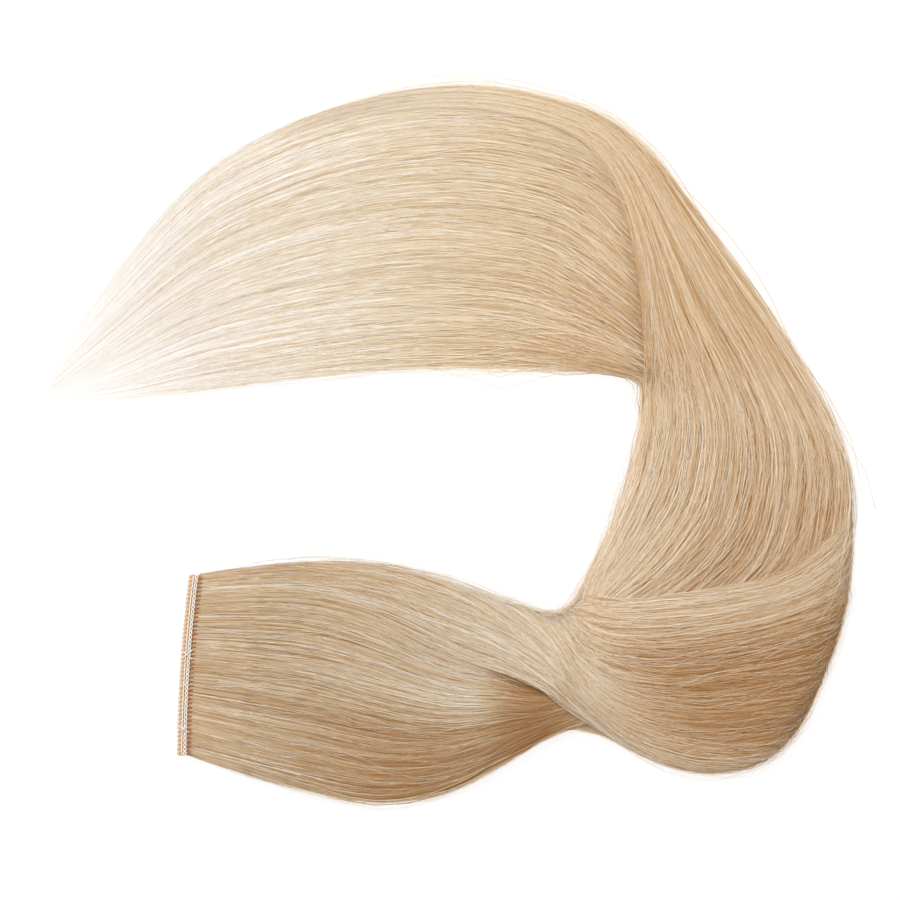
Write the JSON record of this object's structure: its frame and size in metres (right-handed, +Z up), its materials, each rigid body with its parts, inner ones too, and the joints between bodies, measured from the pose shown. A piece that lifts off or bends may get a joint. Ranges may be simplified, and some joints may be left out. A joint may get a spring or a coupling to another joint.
{
  "type": "clip in hair extension",
  "caption": "Long straight hair on a short sewn band with a clip below one end, lying in one big curl that thins to a pale tail.",
  "frame": {"origin": "middle of the clip's flat underside, which lies on the floor", "axes": "+X from the band towards the curl, +Y across the floor from the band's lower end to its upper end, +Z up from the floor"},
  "size_m": [0.2387, 0.2127, 0.0151],
  "materials": {
    "weft_band": "machine-sewn thread, matt",
    "hair": "fine straight fibres, soft sheen",
    "clip": "satin paint"
  },
  "bodies": {
    "root": {"weft_band": "weft_band", "hair": "hair", "clip": "clip"}
  },
  "joints": []
}
